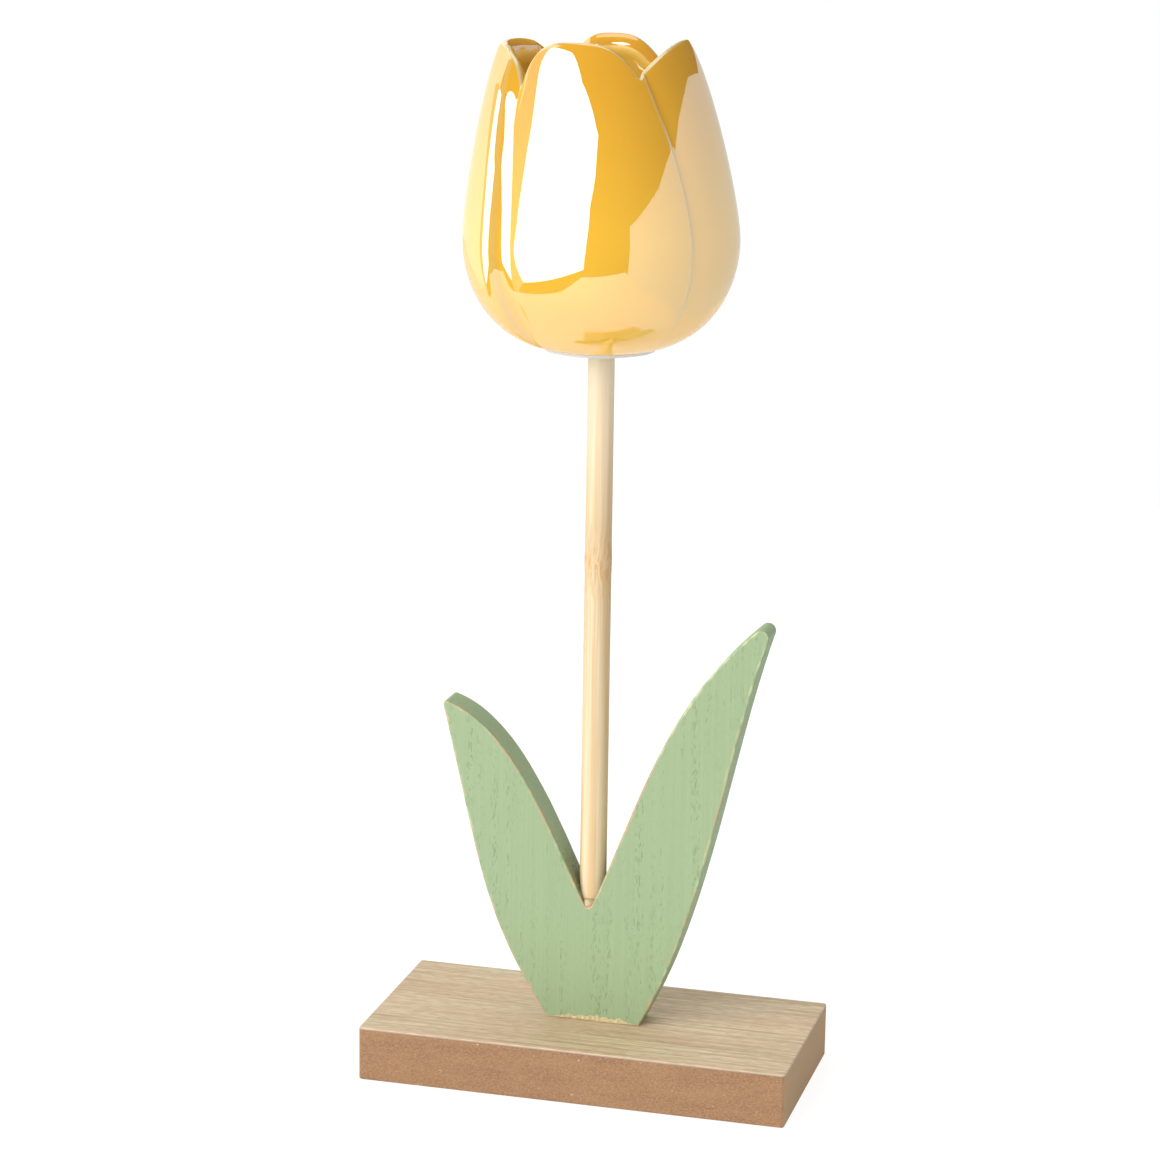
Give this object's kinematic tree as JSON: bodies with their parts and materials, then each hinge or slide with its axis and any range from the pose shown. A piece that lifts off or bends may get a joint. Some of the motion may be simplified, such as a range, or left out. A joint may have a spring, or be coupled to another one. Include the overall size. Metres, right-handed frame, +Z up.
{
  "type": "tulip ornament",
  "caption": "Standing tulip ornament: a glazed ceramic flower cup on a bamboo stem, held in a forked painted leaf on a veneered rectangular base.",
  "frame": {"origin": "middle of the base board's underside", "axes": "+Z up along the stem, +X to the right along the base's length, front of the ornament facing -Y"},
  "size_m": [0.126, 0.0724, 0.301],
  "materials": {
    "base_mdf": "sawn and sanded MDF, unsealed",
    "oak_veneer": "sanded pale oak veneer, unvarnished",
    "leaf_edge_paint": "MDF edge, matte sage green paint",
    "leaf_face_paint": "open-pored veneer, matte sage green paint rubbed through at the edges",
    "bamboo": "natural bamboo, satin",
    "yellow_glaze": "glossy yellow lustre glaze",
    "glue": "cured clear glue",
    "screw_steel": "zinc plated"
  },
  "bodies": {
    "root": {"base_board": "base_mdf", "base_veneer": "oak_veneer", "leaf_board": "leaf_edge_paint", "leaf_front_veneer": "leaf_face_paint", "leaf_back_veneer": "leaf_face_paint", "bamboo_stem": "bamboo", "tulip_head": "yellow_glaze", "head_glue": "glue", "stem_glue": "glue", "fixing_screws": "screw_steel"}
  },
  "joints": []
}
